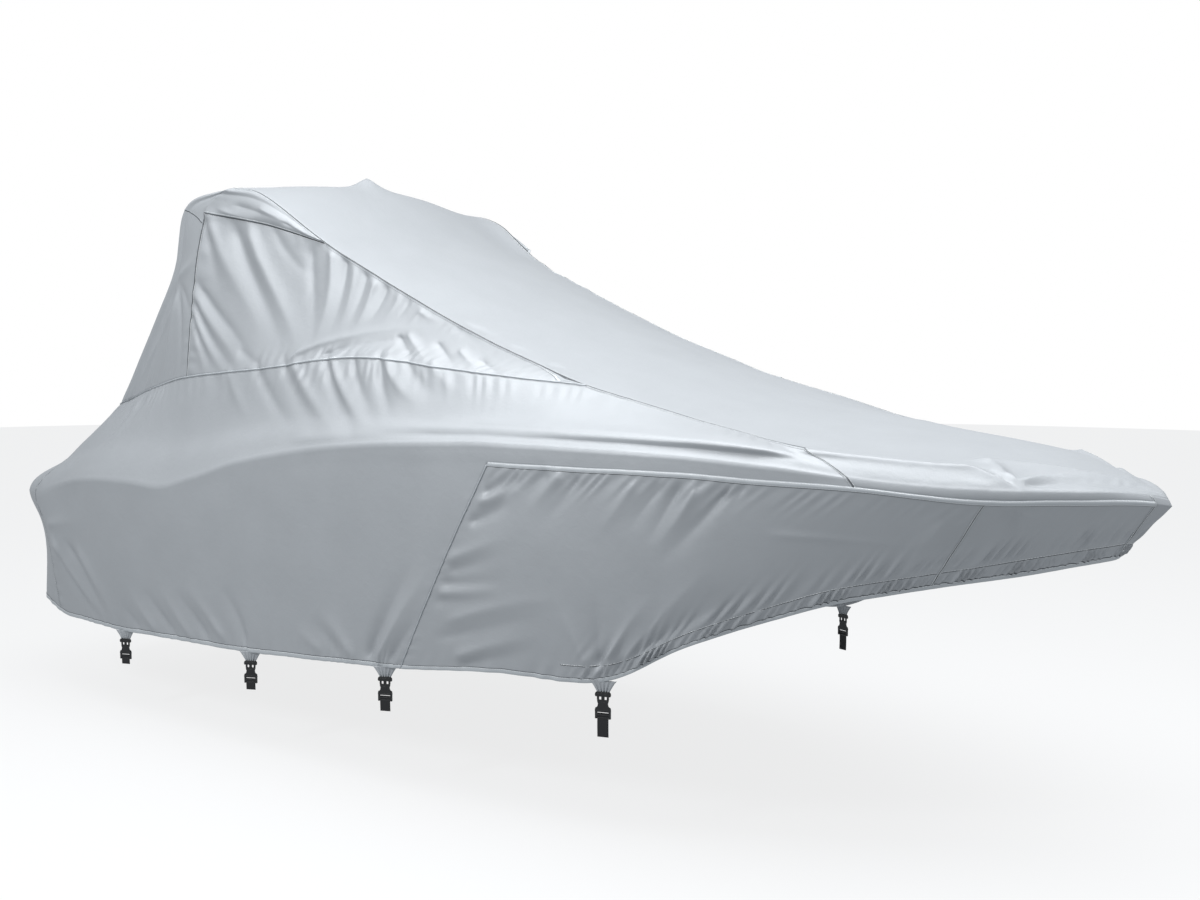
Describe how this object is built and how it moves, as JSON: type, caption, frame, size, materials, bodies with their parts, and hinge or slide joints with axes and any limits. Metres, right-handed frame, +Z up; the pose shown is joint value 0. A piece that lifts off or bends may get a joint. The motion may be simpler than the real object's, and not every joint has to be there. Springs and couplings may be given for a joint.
{
  "type": "fitted boat cover",
  "caption": "Fitted, hollow cloth cover for a sport boat with a tower: sewn draped panels, gathered bow hem, strap tabs, side-release buckles and webbing.",
  "frame": {"origin": "the held-up point under the highest cloth, over the tower, in the middle plane", "axes": "+X runs to the bow, -Y is the starboard side, +Z is up"},
  "size_m": [6.8289, 2.5223, 2.8731],
  "materials": {
    "coated_polyester_top": "silver-grey coated polyester, plain weave, faint satin sheen",
    "coated_polyester_skirt": "silver-grey coated polyester, plain weave, faint satin sheen",
    "acetal_black": "moulded black acetal, fine satin texture",
    "webbing_black": "woven black polypropylene webbing"
  },
  "bodies": {
    "root": {"top_panel": "coated_polyester_top", "tower_back": "coated_polyester_top", "stern_panel": "coated_polyester_skirt", "stem_panel": "coated_polyester_skirt", "tower_cheek_stbd": "coated_polyester_top", "tower_side_stbd": "coated_polyester_top", "side_panel_stbd": "coated_polyester_skirt", "fore_skirt_stbd": "coated_polyester_skirt", "bow_skirt_stbd": "coated_polyester_skirt", "strap_tab_stbd_1": "coated_polyester_top", "buckle_upper_stbd_1": "acetal_black", "buckle_lower_stbd_1": "acetal_black", "webbing_stbd_1": "webbing_black", "strap_tab_stbd_2": "coated_polyester_top", "buckle_upper_stbd_2": "acetal_black", "buckle_lower_stbd_2": "acetal_black", "webbing_stbd_2": "webbing_black", "strap_tab_stbd_3": "coated_polyester_top", "buckle_upper_stbd_3": "acetal_black", "buckle_lower_stbd_3": "acetal_black", "webbing_stbd_3": "webbing_black", "strap_tab_stbd_4": "coated_polyester_top", "buckle_upper_stbd_4": "acetal_black", "buckle_lower_stbd_4": "acetal_black", "webbing_stbd_4": "webbing_black", "tower_cheek_port": "coated_polyester_top", "tower_side_port": "coated_polyester_top", "side_panel_port": "coated_polyester_skirt", "fore_skirt_port": "coated_polyester_skirt", "bow_skirt_port": "coated_polyester_skirt", "strap_tab_port_1": "coated_polyester_top", "buckle_upper_port_1": "acetal_black", "buckle_lower_port_1": "acetal_black", "webbing_port_1": "webbing_black", "strap_tab_port_2": "coated_polyester_top", "buckle_upper_port_2": "acetal_black", "buckle_lower_port_2": "acetal_black", "webbing_port_2": "webbing_black", "strap_tab_port_3": "coated_polyester_top", "buckle_upper_port_3": "acetal_black", "buckle_lower_port_3": "acetal_black", "webbing_port_3": "webbing_black", "strap_tab_port_4": "coated_polyester_top", "buckle_upper_port_4": "acetal_black", "buckle_lower_port_4": "acetal_black", "webbing_port_4": "webbing_black"}
  },
  "joints": []
}
